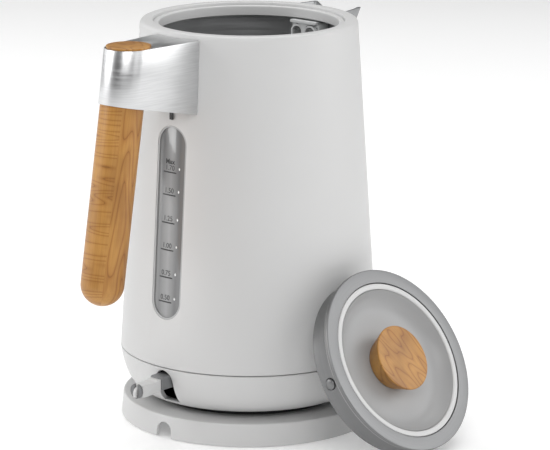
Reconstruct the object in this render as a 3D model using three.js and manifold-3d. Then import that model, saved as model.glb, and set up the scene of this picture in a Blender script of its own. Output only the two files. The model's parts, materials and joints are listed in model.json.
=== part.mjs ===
// A cordless jug kettle on its round power base, with its lid taken off and
// leaning against the jug. Millimetres, +Z up, the table top at z = 0.
// The kettle's axis is the Z axis, the spout points along +X, the handle
// stands at -X and the lid leans on the -Y side.
import * as THREE from 'three';
import { mergeVertices } from 'three/addons/utils/BufferGeometryUtils.js';
import Module from 'manifold-3d';

const wasm = await Module();
wasm.setup();

// ---- driving dimensions ----
const ROUND = 56; // sides of the large round parts
const MEDIUM = 32; // sides of the parts inside them
const SMALL = 14; // sides of pins, screws and feet
const GAP = 0.3; // room between parts that touch

const JUG_TOP = 243;
const SEAM_Z = 43.7; // between the outer shell and the bottom collar
const SEAM_R = 78;
const SHOULDER_Z = 240; // where the rim's round edge starts
const SHOULDER_R = 65.1;
const RIM_EDGE = 3; // radius of the rim's round edge
const MOUTH_R = 57.1;
const LEDGE_Z = 241.3; // the lid's flange rests on this ledge
const THROAT_R = 53.7;
const THROAT_Z = 235.4;
const SHELL_WALL = 2;
const VESSEL_WALL = 1;
const VESSEL_FLOOR_Z = 47;

const BASE_TOP = 14;
const BASE_R = 77.9;
const BASE_TOP_R = 76.5;
const BASE_WALL = 2.2;
const SHELL_FOOT = 0.5; // the base shell ends this far above the table
const NOTCH_WIDTH = 11.2;
const NOTCH_TOP = 9.9;
const BOSS_R = 14.5;
const BOSS_TOP = 26.5;
const CONTACT_Z = 12; // floor of the connector's bore and groove

const COLLAR_BOTTOM = 18;
const COLLAR_FOOT_R = 62;
const SOCKET_R = 15.7;
const SOCKET_CEILING = 27.5;

const WINDOW_WIDTH = 22.5;
const WINDOW_LOW = 72.8;
const WINDOW_HIGH = 188.6;
const WINDOW_EDGE = 1.1; // width of the window's gasket

const SWITCH_WIDTH = 12.8;
const SWITCH_TOP = 42.1;
const SWITCH_LOW = 21.5;
const PIVOT = { x: -70.5, z: 35.6 };
const HUB = { front: -83.7, r: 3.9, width: 9.6 };
const LEVER = { width: 8.2, low: 31.2, high: 37.8, end: -99.5, tip: -103.4 };
const PAD = { r: 4.5, z: 34.4, back: -99.8, face: -101.2, slot: 2.4, slotLow: 31.7 };

const ROD_R = 12.7;
const ROD_TOP = { x: -104.9, z: 241.3 };
const ROD_END = { x: -128.7, z: 104.8 }; // centre of the round end
const BRACKET_TOP = 240.2;
const BRACKET_SKIN = 0.8;
const BRACKET_HALF_WIDTH = 17.1; // where it meets the jug
const BRACKET_ROOT_R = 62.8; // how far from the jug's axis that is
const BRACKET_UNDERSIDE = { r: 64.7, z: 197, slope: 0.213 };

const SPOUT_TIP = 83.6;
const SPOUT_HALF_WIDTH = 18.4;
const SPOUT_ROOT_HALF_WIDTH = 22;
const SPOUT_TOP = 240.8;
const SPOUT_KEEL_Z = 176;
const SPOUT_WALL = 1.3;
const SPOUT_DIP = 9; // depth of the pouring lip below the two ears
const OUTLET = { halfWidth: 9, low: 206, high: 231 };
const FILTER = { front: 50.2, back: 52.2, low: 205, archR: 4.75, archZ: 227.4, archY: 5.05 };
const TAB = { front: 49.4, halfWidth: 7.3, low: 233, high: 234.8 };

const LID_R = 56.2;
const LID_SKIRT_R = 53.2;
const LID_DEPTH = 16.4;
const LID_FLANGE = 2.4;
const LID_TILT = THREE.MathUtils.degToRad(59);
const LID_BAND = { inner: 43.9, outer: 47.7 };
const DISH_DEPTH = 9.8;
const KNOB = { face: 20.2, back: 15, above: 3.2 };
const CATCH = { r: 3.3, depth: 9.6, out: 54.6, flange: 48.7, seat: 45.5 };

// ---- materials ----
const finish = (color, roughness, metalness = 0) =>
  new THREE.MeshStandardMaterial({ color, roughness, metalness });

const paint = {
  white: () => finish(0xe9e9e7, 0.45),
  steel: () => finish(0xc9ccce, 0.3, 1),
  darkSteel: () => finish(0x8e9092, 0.35, 1),
  grey: () => finish(0xa3a5a6, 0.4, 0.6),
  wood: () => finish(0xba8648, 0.5),
  lens: () => finish(0xa4a7aa, 0.15),
  lightPlastic: () => finish(0xd4d6d6, 0.5),
  darkPlastic: () => finish(0x2b2c2e, 0.6),
  greyPlastic: () => finish(0x8c8e90, 0.55),
  brass: () => finish(0xb9974f, 0.3, 1),
  rubber: () => finish(0x3a3b3d, 0.85),
};

// ---- solids ----
function signedVolume(positions, indices) {
  const [a, b, c] = [0, 1, 2].map(() => new THREE.Vector3());
  let volume = 0;
  for (let i = 0; i < indices.length; i += 3) {
    a.fromArray(positions, 3 * indices[i]);
    b.fromArray(positions, 3 * indices[i + 1]);
    c.fromArray(positions, 3 * indices[i + 2]);
    volume += a.dot(b.cross(c)) / 6;
  }
  return volume;
}

// A closed geometry as a solid: shared corners merged, flat slivers dropped,
// every face turned outward.
function solid(geometry) {
  geometry.deleteAttribute('normal');
  geometry.deleteAttribute('uv');
  const merged = mergeVertices(geometry, 1e-4);
  const corners = merged.index.array;
  const kept = [];
  for (let i = 0; i < corners.length; i += 3) {
    const [a, b, c] = corners.slice(i, i + 3);
    if (a !== b && b !== c && c !== a) kept.push(a, b, c);
  }
  const vertProperties = merged.attributes.position.array;
  if (signedVolume(vertProperties, kept) < 0) kept.reverse();
  const triVerts = Uint32Array.from(kept);
  return new wasm.Manifold(new wasm.Mesh({ numProp: 3, vertProperties, triVerts }));
}

function geometryOf(shape) {
  const { vertProperties, triVerts } = shape.getMesh();
  const geometry = new THREE.BufferGeometry();
  geometry.setAttribute('position', new THREE.BufferAttribute(vertProperties, 3));
  geometry.setIndex(new THREE.BufferAttribute(triVerts, 1));
  const flat = geometry.toNonIndexed();
  flat.computeVertexNormals();
  return flat;
}

const point = (x, y) => new THREE.Vector2(x, y);
const less = (shape, ...cutters) => cutters.reduce((left, cutter) => left.subtract(cutter), shape);

// A solid of revolution about Z from [radius, height] points.
function turned(points, sides = ROUND) {
  const outline = points.map((p) => (p.isVector2 ? p : point(...p)));
  const first = outline[0];
  const last = outline[outline.length - 1];
  if (first.x > 0 || last.x > 0) outline.push(first.clone());
  return solid(new THREE.LatheGeometry(outline, sides).rotateX(Math.PI / 2));
}

const drum = (radius, low, high, sides = SMALL) =>
  turned([[0, low], [radius, low], [radius, high], [0, high]], sides);

const tube = (inner, outer, low, high, sides = MEDIUM) =>
  turned([[inner, low], [outer, low], [outer, high], [inner, high]], sides);

function box(x0, x1, y0, y1, z0, z1) {
  const geometry = new THREE.BoxGeometry(x1 - x0, y1 - y0, z1 - z0);
  return solid(geometry.translate((x0 + x1) / 2, (y0 + y1) / 2, (z0 + z1) / 2));
}

const extruded = (shape, depth, curveSegments = 12) =>
  new THREE.ExtrudeGeometry(shape, { depth, bevelEnabled: false, curveSegments });

// A shape drawn in (Y, Z), extruded along X from x0 to x1.
function alongX(shape, x0, x1, curveSegments) {
  const turn = new THREE.Matrix4().makeBasis(
    new THREE.Vector3(0, 1, 0),
    new THREE.Vector3(0, 0, 1),
    new THREE.Vector3(1, 0, 0),
  );
  return solid(extruded(shape, x1 - x0, curveSegments).applyMatrix4(turn).translate(x0, 0, 0));
}

// A shape drawn in (X, Z), extruded along Y over the given width.
function alongY(shape, width, curveSegments) {
  const geometry = extruded(shape, width, curveSegments).rotateX(Math.PI / 2);
  return solid(geometry.translate(0, width / 2, 0));
}

// A round bar along Y, or along X.
const barY = (radius, x, z, width, sides = SMALL) =>
  solid(new THREE.CylinderGeometry(radius, radius, width, sides).translate(x, 0, z));
const barX = (radius, x0, x1, y, z, sides = SMALL) => {
  const bar = new THREE.CylinderGeometry(radius, radius, x1 - x0, sides);
  return solid(bar.rotateZ(Math.PI / 2).translate((x0 + x1) / 2, y, z));
};

// A solid through rings of equal point counts, each ring listed the same way round.
function lofted(rings) {
  const sides = rings[0].length;
  const positions = rings.flat().flatMap((p) => p.toArray());
  const index = [];
  for (let level = 0; level + 1 < rings.length; level += 1) {
    for (let i = 0; i < sides; i += 1) {
      const a = level * sides + i;
      const b = level * sides + ((i + 1) % sides);
      index.push(a, b, b + sides, a, b + sides, a + sides);
    }
  }
  const top = (rings.length - 1) * sides;
  for (let i = 1; i + 1 < sides; i += 1) {
    index.push(0, i + 1, i, top, top + i, top + i + 1);
  }
  const geometry = new THREE.BufferGeometry();
  geometry.setAttribute('position', new THREE.Float32BufferAttribute(positions, 3));
  geometry.setIndex(index);
  return solid(geometry);
}

const arc = (x, y, radius, from, to, steps) =>
  new THREE.ArcCurve(x, y, radius, from, to, to < from).getPoints(steps);

// A slot with round ends, centred on y = 0.
function stadium(width, low, high) {
  const r = width / 2;
  const shape = new THREE.Shape();
  shape.absarc(0, low + r, r, Math.PI, 2 * Math.PI);
  shape.absarc(0, high - r, r, 0, Math.PI);
  return shape.closePath();
}

// An opening with a round top and a square bottom.
function archway(width, low, high) {
  const r = width / 2;
  const shape = new THREE.Shape();
  shape.moveTo(-r, low);
  shape.lineTo(r, low);
  shape.absarc(0, high - r, r, 0, Math.PI);
  return shape.closePath();
}

function piece(name, shape, material) {
  const mesh = new THREE.Mesh(shape.isBufferGeometry ? shape : geometryOf(shape), material);
  mesh.name = name;
  return mesh;
}

// ---- the jug's outline ----
const SHELL_TAPER = (SEAM_R - SHOULDER_R) / (SHOULDER_Z - SEAM_Z);
const shellRadius = (z) => SHOULDER_R + (SHOULDER_Z - z) * SHELL_TAPER;
const VESSEL_INSET = SHELL_WALL + GAP;
const vesselRadius = (z) => shellRadius(z) - VESSEL_INSET;

// The jug's cone grown by some room, as a cutter for what is fixed to it.
const jugCone = (room) =>
  turned([
    [0, SEAM_Z],
    [shellRadius(SEAM_Z) + room, SEAM_Z],
    [shellRadius(JUG_TOP + 5) + room, JUG_TOP + 5],
    [0, JUG_TOP + 5],
  ]);

const windowCut = (edge) =>
  alongX(stadium(WINDOW_WIDTH - 2 * edge, WINDOW_LOW + edge, WINDOW_HIGH - edge), -90, -50);

const outletCut = (grow) =>
  box(55, 80, -OUTLET.halfWidth - grow, OUTLET.halfWidth + grow, OUTLET.low - grow, OUTLET.high + grow);

function outerShell() {
  const low = SEAM_Z + GAP;
  const lip = JUG_TOP - 3.8;
  const outline = [
    [shellRadius(low), low],
    ...arc(SHOULDER_R - RIM_EDGE, SHOULDER_Z, RIM_EDGE, 0, Math.PI / 2, 3),
    ...arc(MOUTH_R + 0.7, JUG_TOP - 0.7, 0.7, Math.PI / 2, Math.PI, 1),
    [MOUTH_R, lip],
    [shellRadius(lip) - SHELL_WALL, lip],
    [shellRadius(low) - SHELL_WALL, low],
  ];
  return less(turned(outline), windowCut(0), outletCut(0));
}

function innerVessel() {
  const top = THROAT_Z - GAP;
  const corner = 5;
  const cornerZ = VESSEL_FLOOR_Z + corner;
  const inside = vesselRadius(cornerZ) - VESSEL_WALL;
  const outline = [
    [0, VESSEL_FLOOR_Z - VESSEL_WALL],
    ...arc(inside - corner, cornerZ, corner + VESSEL_WALL, -Math.PI / 2, 0, 2),
    [vesselRadius(top), top],
    [vesselRadius(top) - VESSEL_WALL, top],
    ...arc(inside - corner, cornerZ, corner, 0, -Math.PI / 2, 2),
    [0, VESSEL_FLOOR_Z],
  ];
  return less(turned(outline), windowCut(0), outletCut(0));
}

function throatRing() {
  const flange = JUG_TOP - 3.8 - GAP;
  const outer = vesselRadius(THROAT_Z);
  return turned([
    [THROAT_R, THROAT_Z],
    [outer, THROAT_Z],
    [outer, flange],
    [MOUTH_R - GAP, flange],
    [MOUTH_R - GAP, LEDGE_Z],
    [THROAT_R + 0.5, LEDGE_Z],
    [THROAT_R, LEDGE_Z - 0.5],
  ]);
}

// The curved layer of the jug's wall between two depths below its surface.
function wallLayer(outerInset, innerInset) {
  const low = WINDOW_LOW - 2;
  const high = WINDOW_HIGH + 2;
  return turned([
    [shellRadius(low) - outerInset, low],
    [shellRadius(high) - outerInset, high],
    [shellRadius(high) - innerInset, high],
    [shellRadius(low) - innerInset, low],
  ]);
}

const windowLens = () =>
  wallLayer(0.9, VESSEL_INSET + VESSEL_WALL).intersect(windowCut(WINDOW_EDGE + 0.15));

const windowGasket = () =>
  wallLayer(0.3, VESSEL_INSET + VESSEL_WALL).intersect(
    windowCut(0.15).subtract(windowCut(WINDOW_EDGE)),
  );

function bottomCollar() {
  const top = SEAM_Z - GAP;
  const lipTop = SEAM_Z + 1.6;
  const lipInner = 74.2;
  const outside = new THREE.CubicBezierCurve(
    point(SEAM_R, top),
    point(76.6, 33),
    point(73, COLLAR_BOTTOM),
    point(COLLAR_FOOT_R, COLLAR_BOTTOM),
  );
  const inside = new THREE.CubicBezierCurve(
    point(COLLAR_FOOT_R, COLLAR_BOTTOM + 2.2),
    point(70.2, COLLAR_BOTTOM + 2.2),
    point(73.4, 33),
    point(lipInner, top - 2.4),
  );
  const outline = [
    [lipInner, lipTop],
    [lipInner + 1.3, lipTop],
    [lipInner + 1.3, top],
    ...outside.getPoints(6),
    ...inside.getPoints(3),
  ];
  const hole = alongX(archway(SWITCH_WIDTH, SWITCH_LOW, SWITCH_TOP), -90, -60);
  return turned(outline).subtract(hole);
}

// ---- the jug's underside and heater ----
const jugUnderside = () => tube(19.3, COLLAR_FOOT_R - GAP, COLLAR_BOTTOM + 0.3, COLLAR_BOTTOM + 2.2);
const jugFootRing = () => tube(50, 57, BASE_TOP + GAP, COLLAR_BOTTOM);

const jugSocket = () =>
  turned([
    [0, SOCKET_CEILING],
    [SOCKET_R, SOCKET_CEILING],
    [SOCKET_R, COLLAR_BOTTOM + 0.3],
    [19, COLLAR_BOTTOM + 0.3],
    [19, SOCKET_CEILING + 2.5],
    [0, SOCKET_CEILING + 2.5],
  ], MEDIUM);

const socketPin = () => drum(2, CONTACT_Z + 2, SOCKET_CEILING - GAP);
const socketRing = () => tube(9, 10, CONTACT_Z + 2, SOCKET_CEILING - GAP, 24);
const heaterPlate = () => drum(61, 42.4, VESSEL_FLOOR_Z - VESSEL_WALL - GAP, MEDIUM);

function heatingElement() {
  const tubeRadius = 3;
  const loop = new THREE.CatmullRomCurve3(
    Array.from({ length: 13 }, (_, i) => {
      const turn = THREE.MathUtils.degToRad(20 + i * (320 / 12));
      return new THREE.Vector3(46 * Math.cos(turn), 46 * Math.sin(turn), 42.1 - tubeRadius);
    }),
  );
  const section = new THREE.Shape();
  section.absarc(0, 0, tubeRadius, 0, 2 * Math.PI);
  return solid(new THREE.ExtrudeGeometry(section, { extrudePath: loop, steps: 24, curveSegments: 4 }));
}

function controlBlock() {
  const body = box(-26, 22, -17, 17, SOCKET_CEILING + 2.8, 38.4);
  return body.subtract(drum(9.4, 34.6, 40));
}

const bimetalDisc = () => drum(9, 34.9, 36);

// ---- the spout ----
// One level of the beak: a flat-fronted tongue from inside the jug's wall.
function beakRing(z, inset) {
  const grown = (z - SPOUT_KEEL_Z) / (SPOUT_TOP - SPOUT_KEEL_Z);
  const root = shellRadius(z) - 8;
  const wall = shellRadius(z);
  const reach = (SPOUT_TIP - shellRadius(SPOUT_TOP)) * grown;
  const front = wall + Math.max(reach - inset, 0.2);
  const rootHalf = Math.max(SPOUT_ROOT_HALF_WIDTH * grown - inset, 0.3);
  const tipHalf = Math.max(SPOUT_HALF_WIDTH * grown - inset, 0.2);
  const bulge = 1.5 * grown;
  const at = (x, y) => new THREE.Vector3(x, y, z);
  const half = [
    at(root, rootHalf),
    at(wall - 2, rootHalf),
    at(front - 1.2, tipHalf),
    at(front, tipHalf - Math.min(1.2, tipHalf * 0.5)),
    at(front + bulge * 0.8, tipHalf * 0.45),
  ];
  const mirrored = half.map((p) => at(p.x, -p.y));
  return [...mirrored, at(front + bulge, 0), ...half.reverse()];
}

function beak(inset, low, high, levels) {
  const heights = Array.from({ length: levels + 1 }, (_, i) => low + ((high - low) * i) / levels);
  return lofted(heights.map((z) => beakRing(z, inset)));
}

function spout() {
  const outside = beak(0, SPOUT_KEEL_Z + 2, SPOUT_TOP, 6);
  const inside = beak(SPOUT_WALL, SPOUT_KEEL_Z + 10, SPOUT_TOP + 6, 6);
  const lip = new THREE.Shape();
  lip.moveTo(-SPOUT_HALF_WIDTH + 1.5, SPOUT_TOP + 1);
  lip.quadraticCurveTo(0, SPOUT_TOP - 2 * SPOUT_DIP, SPOUT_HALF_WIDTH - 1.5, SPOUT_TOP + 1);
  lip.closePath();
  return less(outside, inside, alongX(lip, 75, 100, 8), jugCone(GAP));
}

// ---- the outlet and its filter ----
function filterHousing() {
  const { halfWidth, low, high } = OUTLET;
  const skin = 1.6;
  const block = box(52.8, 66, -halfWidth - skin, halfWidth + skin, low - skin, high + skin);
  const way = box(50, 70, -halfWidth, halfWidth, low, high);
  const wall = turned([
    [0, low - 10],
    [shellRadius(low - 10) - VESSEL_INSET - VESSEL_WALL - GAP, low - 10],
    [shellRadius(high + 4) - VESSEL_INSET - VESSEL_WALL - GAP, high + 4],
    [0, high + 4],
  ]);
  return block.subtract(way).intersect(wall);
}

// Two round-topped panels side by side, both grown by some room.
function filterPanel(side, grow, x0, x1) {
  const { low, archR, archZ, archY } = FILTER;
  const r = archR + grow;
  return alongX(archway(2 * r, low - grow, archZ + r), x0, x1, 6).translate(0, side * archY, 0);
}

// A post between the panels spreads out at its top into a finger tab.
function filterFrame() {
  const { front, back, low, archZ } = FILTER;
  const half = 1.4;
  const post = new THREE.Shape();
  post.moveTo(-half, low);
  post.lineTo(half, low);
  post.lineTo(half, archZ + 0.6);
  post.quadraticCurveTo(half + 0.2, TAB.low - 1.4, TAB.halfWidth - 1, TAB.low + 0.4);
  post.lineTo(1 - TAB.halfWidth, TAB.low + 0.4);
  post.quadraticCurveTo(-half - 0.2, TAB.low - 1.4, -half, archZ + 0.6);
  post.closePath();
  const tab = box(TAB.front, back, -TAB.halfWidth, TAB.halfWidth, TAB.low, TAB.high);
  const panels = [-1, 1].map((side) => filterPanel(side, 0, front, back));
  const views = [-1, 1].map((side) => filterPanel(side, -1.1, front - 1, back));
  const pockets = [-1, 1].map((side) => filterPanel(side, -0.6, front + 0.9, back + 1));
  const frame = alongX(post, front - 0.4, back, 6).add(tab).add(panels[0]).add(panels[1]);
  return less(frame, ...views, ...pockets);
}

const filterMesh = (side) => filterPanel(side, -0.9, FILTER.front + 1.2, FILTER.front + 1.6);

// ---- the handle ----
const rodTilt = Math.atan2(ROD_TOP.x - ROD_END.x, ROD_TOP.z - ROD_END.z);
const rodLength = Math.hypot(ROD_TOP.x - ROD_END.x, ROD_TOP.z - ROD_END.z);
const undersideZ = (r) => BRACKET_UNDERSIDE.z + (r - BRACKET_UNDERSIDE.r) * BRACKET_UNDERSIDE.slope;

// Turns a geometry drawn about the rod's own axis, top end at its origin, into place.
const ontoRod = (geometry) => geometry.rotateY(rodTilt).translate(ROD_TOP.x, 0, ROD_TOP.z);

const rodDrum = (radius, low, high, sides) => {
  const bar = new THREE.CylinderGeometry(radius, radius, high - low, sides);
  return solid(ontoRod(bar.rotateX(Math.PI / 2).translate(0, 0, (low + high) / 2)));
};

// What lies between two heights of the bracket, on the handle's side of the jug.
function bracketSlice(trim) {
  const [far, near] = [150, 50];
  const slice = new THREE.Shape([
    point(-far, undersideZ(far) + trim),
    point(-near, undersideZ(near) + trim),
    point(-near, BRACKET_TOP - trim),
    point(-far, BRACKET_TOP - trim),
  ]);
  return alongY(slice, 60);
}

// The bracket seen along the rod: flat flanks that run on to a round end.
function bracketPlan(radius, halfWidth) {
  const run = -ROD_TOP.x - BRACKET_ROOT_R;
  const flank = Math.atan2(halfWidth - radius, run);
  const tangent = Math.PI / 2 + flank;
  const plan = new THREE.Shape();
  plan.moveTo(run + 8, -halfWidth - 8 * Math.tan(flank));
  plan.lineTo(run + 8, halfWidth + 8 * Math.tan(flank));
  plan.absarc(0, 0, radius, tangent, -tangent + 2 * Math.PI);
  return plan.closePath();
}

function bracketPrism(radius, halfWidth) {
  const plan = extruded(bracketPlan(radius, halfWidth), 80, 14).translate(0, 0, -60);
  return solid(ontoRod(plan));
}

function handleBracket() {
  const skin = 1.5;
  const outerR = ROD_R + GAP + BRACKET_SKIN;
  const outside = bracketPrism(outerR, BRACKET_HALF_WIDTH).intersect(bracketSlice(0));
  const hollow = bracketPrism(outerR - skin, BRACKET_HALF_WIDTH - skin).intersect(bracketSlice(skin));
  return less(outside, hollow, rodDrum(ROD_R + GAP, -70, 20, 28), jugCone(GAP));
}

function handleRod() {
  const outline = [
    ...arc(0, -rodLength, ROD_R, -Math.PI / 2, 0, 5),
    [ROD_R, 10],
    [0, 10],
  ].map((p) => (p.isVector2 ? p : point(...p)));
  const whole = solid(ontoRod(new THREE.LatheGeometry(outline, 28).rotateX(Math.PI / 2)));
  const above = box(-150, -50, -30, 30, BRACKET_TOP - GAP, 270);
  return less(whole, above, rodDrum(3.4, -62, 20, 12));
}

const handleBolt = () =>
  rodDrum(3, -60, 5, 12).subtract(box(-150, -50, -30, 30, BRACKET_TOP - 0.8, 270));

function handleCap() {
  const cap = turned([
    [0, BRACKET_TOP],
    [ROD_R + 0.3, BRACKET_TOP],
    [ROD_R + 0.3, BRACKET_TOP + 0.9],
    [ROD_R, BRACKET_TOP + 1.2],
    [0, BRACKET_TOP + 1.2],
  ], MEDIUM);
  return cap.translate(ROD_TOP.x, 0, 0);
}

function bracketTab() {
  const root = -shellRadius(WINDOW_HIGH + 5);
  return box(root - 1.1, root - 0.4, -1.25, 1.25, 192.3, 196.4);
}

// ---- the switch ----
const switchPin = () => barY(1.2, PIVOT.x, PIVOT.z, 16.4, 16);

function switchHub() {
  const [low, high] = [PIVOT.z - HUB.r, PIVOT.z + HUB.r];
  const side = new THREE.Shape();
  side.moveTo(PIVOT.x, low);
  side.lineTo(HUB.front + 1.5, low);
  side.quadraticCurveTo(HUB.front, low, HUB.front, low + 1.5);
  side.lineTo(HUB.front, high - 2);
  side.quadraticCurveTo(HUB.front, high, HUB.front + 2, high);
  side.absarc(PIVOT.x, PIVOT.z, HUB.r, Math.PI / 2, -Math.PI / 2, true);
  side.closePath();
  const bore = barY(1.26, PIVOT.x, PIVOT.z, 20, 16);
  return less(alongY(side, HUB.width), bore, leverTongue(GAP));
}

// The lever's tongue in the hub, grown by some room to cut its socket.
function leverTongue(room) {
  const middle = (LEVER.low + LEVER.high) / 2;
  const half = 1.5 + room;
  return box(HUB.front - 1, HUB.front + 5 + room, -half, half, middle - half, middle + half);
}

function switchCradle() {
  const inner = HUB.width / 2 + 1.4;
  const cheek = (side) => {
    const [a, b] = [side * inner, side * (inner + 2)];
    return box(-71.6, -58, Math.min(a, b), Math.max(a, b), 31.5, 40);
  };
  const back = box(-60, -58, -inner - 2, inner + 2, 31.5, 40);
  return less(cheek(1).add(cheek(-1)).add(back), barY(1.5, PIVOT.x, PIVOT.z, 30, 16));
}

// The bar, a fin that curves down in front of the grey pad, and the web that
// carries the fin through the pad's slot.
function switchLever() {
  const { width, low, high, end, tip } = LEVER;
  const root = HUB.front - GAP;
  const bar = new THREE.Shape();
  bar.moveTo(root, low);
  bar.lineTo(end + 1, low);
  bar.quadraticCurveTo(end, low, end, low + 1);
  bar.lineTo(end, high - 1.5);
  bar.quadraticCurveTo(end, high, end + 1.5, high);
  bar.lineTo(root - 3.5, high);
  bar.lineTo(root - 2.8, high + 0.7);
  bar.lineTo(root, high + 0.7);
  bar.closePath();
  const fin = new THREE.Shape();
  fin.moveTo(end + 3, high);
  fin.bezierCurveTo(end - 2, high - 0.4, tip - 1.4, PAD.z - 0.4, PAD.face - 1, PAD.z - PAD.r + 0.8);
  fin.lineTo(PAD.face - GAP, PAD.z - PAD.r + 0.8);
  fin.lineTo(PAD.face - GAP, PAD.slotLow + GAP);
  fin.lineTo(end + 3, PAD.slotLow + GAP);
  fin.closePath();
  return alongY(bar, width, 5).add(alongY(fin, PAD.slot - 2 * GAP, 8)).add(leverTongue(0));
}

function leverPad() {
  const disc = barX(PAD.r, PAD.face, PAD.back, 0, PAD.z, 28);
  const half = PAD.slot / 2;
  return disc.subtract(box(PAD.face - 1, PAD.back + 1, -half, half, PAD.slotLow, PAD.z + 10));
}

// ---- the power base ----
const cableCut = (x0, x1) => alongX(archway(NOTCH_WIDTH, -1, NOTCH_TOP), x0, x1, 10);

function baseShell() {
  const outline = [
    [BASE_R, SHELL_FOOT],
    ...arc(BASE_TOP_R - 1, BASE_TOP - 1, 1, 0, Math.PI / 2, 3),
    [22, BASE_TOP],
    [21, BASE_TOP + 1],
    [BOSS_R + 0.6, BASE_TOP + 1],
    [BOSS_R + 0.6, BASE_TOP - BASE_WALL],
    [BASE_TOP_R - 2.4, BASE_TOP - BASE_WALL],
    [BASE_R - BASE_WALL, SHELL_FOOT],
  ];
  return turned(outline).subtract(cableCut(-90, -70));
}

// The bottom cover: a flat hub that shares the table with the feet, a plate and
// the wall that the cord winds around.
function baseCover() {
  const hub = 24;
  const drumR = 56;
  const plateZ = 2.2;
  const wall = 1.8;
  const cover = turned([
    [0, 0],
    [hub, 0],
    [hub + 1, plateZ],
    [drumR, plateZ],
    [drumR, BASE_TOP - BASE_WALL - GAP],
    [drumR - wall, BASE_TOP - BASE_WALL - GAP],
    [drumR - wall, plateZ + wall],
    [hub - 1, plateZ + wall],
    [hub - 2, wall],
    [0, wall],
  ], MEDIUM);
  const cordWay = box(-62, -50, -3, 3, plateZ + wall, 9.2);
  const holes = baseScrewPlaces().map(([x, y]) => drum(1.9, -1, 8).translate(x, y, 0));
  return less(cover, cordWay, ...holes);
}

const onCircle = (radius, count, start) =>
  Array.from({ length: count }, (_, i) => {
    const turn = THREE.MathUtils.degToRad(start + (360 / count) * i);
    return [radius * Math.cos(turn), radius * Math.sin(turn)];
  });

const baseScrewPlaces = () => onCircle(34, 3, 30);
const baseFootPlaces = () => onCircle(46, 3, 90);

function baseScrew([x, y]) {
  const screw = turned([[0, 0.6], [3, 0.6], [3, 1.9], [1.5, 1.9], [1.5, 9], [0, 9]], 14);
  const slot = box(-2.2, 2.2, -0.4, 0.4, 0, 1.1);
  return screw.subtract(slot).translate(x, y, 0);
}

const baseFoot = ([x, y]) =>
  turned([[0, 0], [4.6, 0], [5.2, 0.6], [5.2, 1.9], [0, 1.9]], SMALL).translate(x, y, 0);

function baseConnector() {
  const flange = BASE_TOP - BASE_WALL - GAP;
  return turned([
    [0, 5],
    [BOSS_R, 5],
    [BOSS_R, flange - 2.6],
    [21, flange - 2.6],
    [21, flange],
    [BOSS_R, flange],
    [BOSS_R, BOSS_TOP],
    [11.6, BOSS_TOP],
    [11.6, CONTACT_Z],
    [7.4, CONTACT_Z],
    [7.4, BOSS_TOP],
    [3.6, BOSS_TOP],
    [3.6, CONTACT_Z],
    [0, CONTACT_Z],
  ], MEDIUM);
}

const contactPin = () => drum(3, CONTACT_Z + GAP, CONTACT_Z + 1.5, 16);
const contactRing = () => tube(7.8, 11.2, CONTACT_Z + GAP, CONTACT_Z + 1.5, 24);

function cordClamp() {
  const bar = box(-46, -40, -9, 9, 7, 9.4);
  return bar.subtract(cordSeat());
}

const cordSeat = () => barX(2.2, -50, -36, 0, 6.85, 16);
const cordCradle = () => box(-47, -39, -9.5, 9.5, 4.3, 6.7).subtract(cordSeat());

const clampScrew = (y) => {
  const screw = turned([[0, 9.7], [2, 9.7], [2, 11], [0, 11]], 12);
  return screw.translate(-43, y, 0);
};

// ---- the lid, drawn flat with its face at z = 0, then leaned ----
function lidRing() {
  const wall = 1.6;
  const outline = [
    [LID_BAND.outer + GAP, 0],
    [LID_R - 0.5, 0],
    [LID_R, -0.5],
    [LID_R, -LID_FLANGE],
    [LID_SKIRT_R, -LID_FLANGE],
    [LID_SKIRT_R, -LID_DEPTH + 0.4],
    [LID_SKIRT_R - 0.4, -LID_DEPTH],
    [LID_SKIRT_R - wall, -LID_DEPTH],
    [LID_SKIRT_R - wall, -LID_FLANGE],
    [LID_BAND.outer + GAP, -LID_FLANGE],
  ];
  const bore = barX(CATCH.r + 0.3, -LID_R, LID_R, 0, -CATCH.depth);
  return turned(outline).subtract(bore);
}

const lidBand = () =>
  turned([
    [LID_BAND.inner + GAP, -0.9],
    [LID_BAND.inner + 0.8, -0.4],
    [LID_BAND.outer - 0.4, -0.4],
    [LID_BAND.outer, -0.8],
    [LID_BAND.outer, -LID_FLANGE],
    [LID_BAND.inner + GAP, -LID_FLANGE],
  ]);

// The dish sweeps down from the band to a flat centre under the knob.
function lidDish() {
  const skin = 1.2;
  const flat = 24;
  const sweep = (drop) =>
    new THREE.CubicBezierCurve(
      point(LID_BAND.inner, -1 - drop),
      point(LID_BAND.inner - 5, -DISH_DEPTH - drop),
      point(flat + 12, -DISH_DEPTH - drop),
      point(flat, -DISH_DEPTH - drop),
    ).getPoints(4);
  const outline = [
    [3, -DISH_DEPTH],
    ...sweep(0).reverse(),
    ...sweep(skin),
    [3, -DISH_DEPTH - skin],
  ];
  return turned(outline, MEDIUM);
}

function lidKnob() {
  const top = KNOB.above;
  const low = -DISH_DEPTH + GAP;
  const knob = turned([
    [0, low],
    [KNOB.back, low],
    [KNOB.face, top - 0.8],
    [KNOB.face - 0.7, top],
    [0, top],
  ], MEDIUM);
  return knob.subtract(drum(2.4, low - 1, top - 5, 12));
}

const knobScrew = () =>
  turned([
    [0, -DISH_DEPTH - 3.8],
    [4, -DISH_DEPTH - 3.8],
    [4, -DISH_DEPTH - 2.6],
    [2, -DISH_DEPTH - 2.6],
    [2, KNOB.above - 5.5],
    [0, KNOB.above - 5.5],
  ], 14);

const knobWasher = () => tube(2.4, 7, -DISH_DEPTH - 2.3, -DISH_DEPTH - 1.5, SMALL);

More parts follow.
